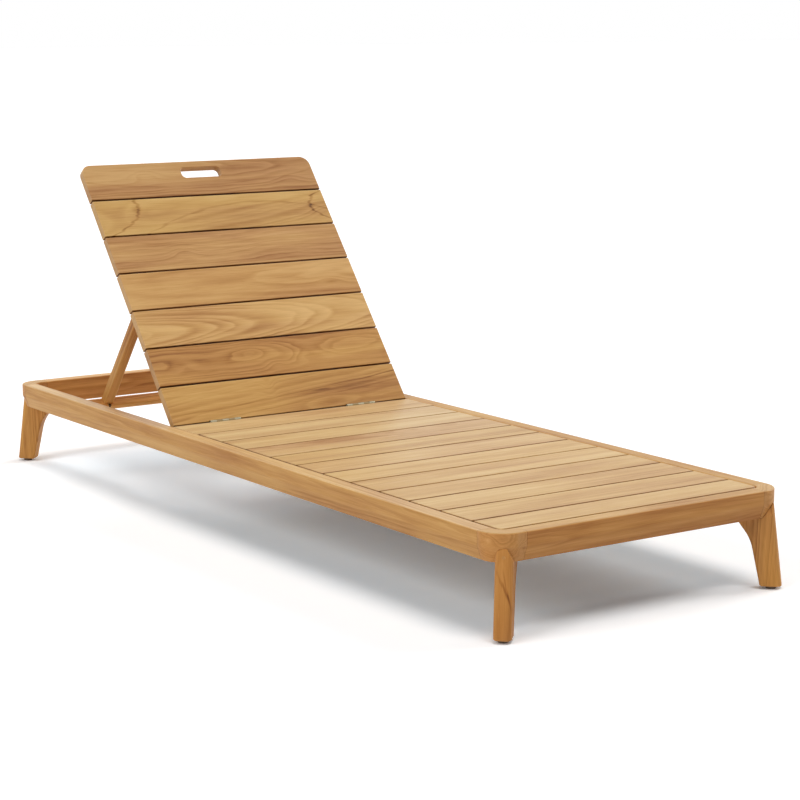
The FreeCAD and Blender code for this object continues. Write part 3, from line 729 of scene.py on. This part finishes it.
def capped(name, size):
    # a short round piece along Z with a crowned cap, and a socket in it where the size has one
    bpy.ops.object.select_all(action="DESELECT")
    bpy.ops.mesh.primitive_cylinder_add(vertices=size["sides"], radius=size["radius"], depth=size["tall"],
                                        location=(0, 0, size["proud"] - size["tall"] / 2))
    piece = bpy.context.object
    piece.name = name
    bpy.ops.object.transform_apply(location=True, rotation=True, scale=True)
    bpy.ops.object.mode_set(mode="EDIT")
    bpy.ops.mesh.select_mode(type="FACE")
    pickCap(piece.data)
    bpy.ops.mesh.inset(thickness=size["rim"])
    bpy.ops.transform.translate(value=(0, 0, size["crown"]))
    if size["socket"]:
        bpy.ops.mesh.inset(thickness=size["radius"] - size["rim"] - size["socket"])
        bpy.ops.mesh.extrude_region_move(TRANSFORM_OT_translate={"value": (0, 0, -size["socketDeep"])})
    bpy.ops.object.mode_set(mode="OBJECT")
    bpy.ops.object.shade_smooth_by_angle(angle=math.radians(capMake["smoothBelow"]))
    return piece


def placed(model, name, carrier, start, way, body):
    # a copy of the model, seated where a line from the start meets its carrier
    met, spot, normal, _ = nodes[carrier].ray_cast(start, way)
    if not met:
        raise RuntimeError(name + " meets no face of " + carrier)
    piece = model.copy()
    piece.data = model.data.copy()
    piece.name = name
    bpy.context.scene.collection.objects.link(piece)
    piece.data.transform(Matrix.Translation(spot) @ normal.to_track_quat("Z", "Y").to_matrix().to_4x4())
    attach(piece, body)
    return piece


# the wooden plug on each leg's outer face
plugs = {"radius": 0.0034, "tall": 0.004, "proud": 0.0001, "rim": 0.0007, "crown": 0.0002, "sides": 32,
         "socket": 0.0, "height": 0.156, "aside": 0.0113, "standOff": 0.2}
plugGrain = {"depth": 0.02, "spacing": 0.002, "start": 0.24, "tint": (0.72, 0.62, 0.47),
             "seed": 101.0, "seedStep": 1.0}
plugModel = capped("leg_plug", plugs)
for index, (name, corner) in enumerate(corners.items()):
    out = corner["out"]
    start = Vector((*corner["centre"], plugs["height"]))
    start = start + corner["tangent"] * (corner["hand"] * plugs["aside"]) + out * plugs["standOff"]
    plug = placed(plugModel, "leg_plug_" + name, "leg_" + name, start, -out, "frame")
    teak(plug, upward, out, **stepped(plugGrain, index))
bpy.data.objects.remove(plugModel)

# two screws through each batten into each board
screws = {"radius": 0.0038, "tall": 0.004, "proud": 0.0006, "rim": 0.0008, "crown": 0.0003, "sides": 24,
          "socket": 0.0014, "socketDeep": 0.0007, "hingeX": -0.2457, "hingeZ": 0.200, "first": 0.0509,
          "pitch": 0.10184, "apart": 0.026, "highest": 0.640, "standOff": 0.2}
battens = {"near": -0.2825, "centre": 0.0, "far": 0.2825}
screwModel = capped("screw", screws)
hingeLine = Vector((screws["hingeX"], 0, screws["hingeZ"]))
for side, y in battens.items():
    for index in range(len(backBoards)):
        for row, shift in (("low", -screws["apart"]), ("high", screws["apart"])):
            name = "batten_screw_%s_%d_%s" % (side, index + 1, row)
            up = min(screws["first"] + index * screws["pitch"] + shift, screws["highest"])
            start = hingeLine + upBack * up + acrossSeat * y - backFace * screws["standOff"]
            screw = placed(screwModel, name, "back_batten_" + side, start, backFace, "backrest")
            dress(screw, steel)

# a browned screw at each end of the prop's bar
barScrews = {"along": 0.2573, "x": -0.6757, "z": 0.1796, "standOff": 0.1}
brownedSteel = metal("browned_screw", fromScreen(100, 76, 54), roughness=0.45, speckle=0.40)
barFace = Vector((math.sin(propSlope), 0, math.cos(propSlope)))
for side, sign in (("near", -1), ("far", 1)):
    end = Vector((barScrews["x"], sign * barScrews["along"], barScrews["z"]))
    start = end + barFace * barScrews["standOff"]
    screw = placed(screwModel, "bar_screw_" + side, "prop_bar", start, -barFace, "prop")
    dress(screw, brownedSteel)
bpy.data.objects.remove(screwModel)
print("plugs and screws seated")
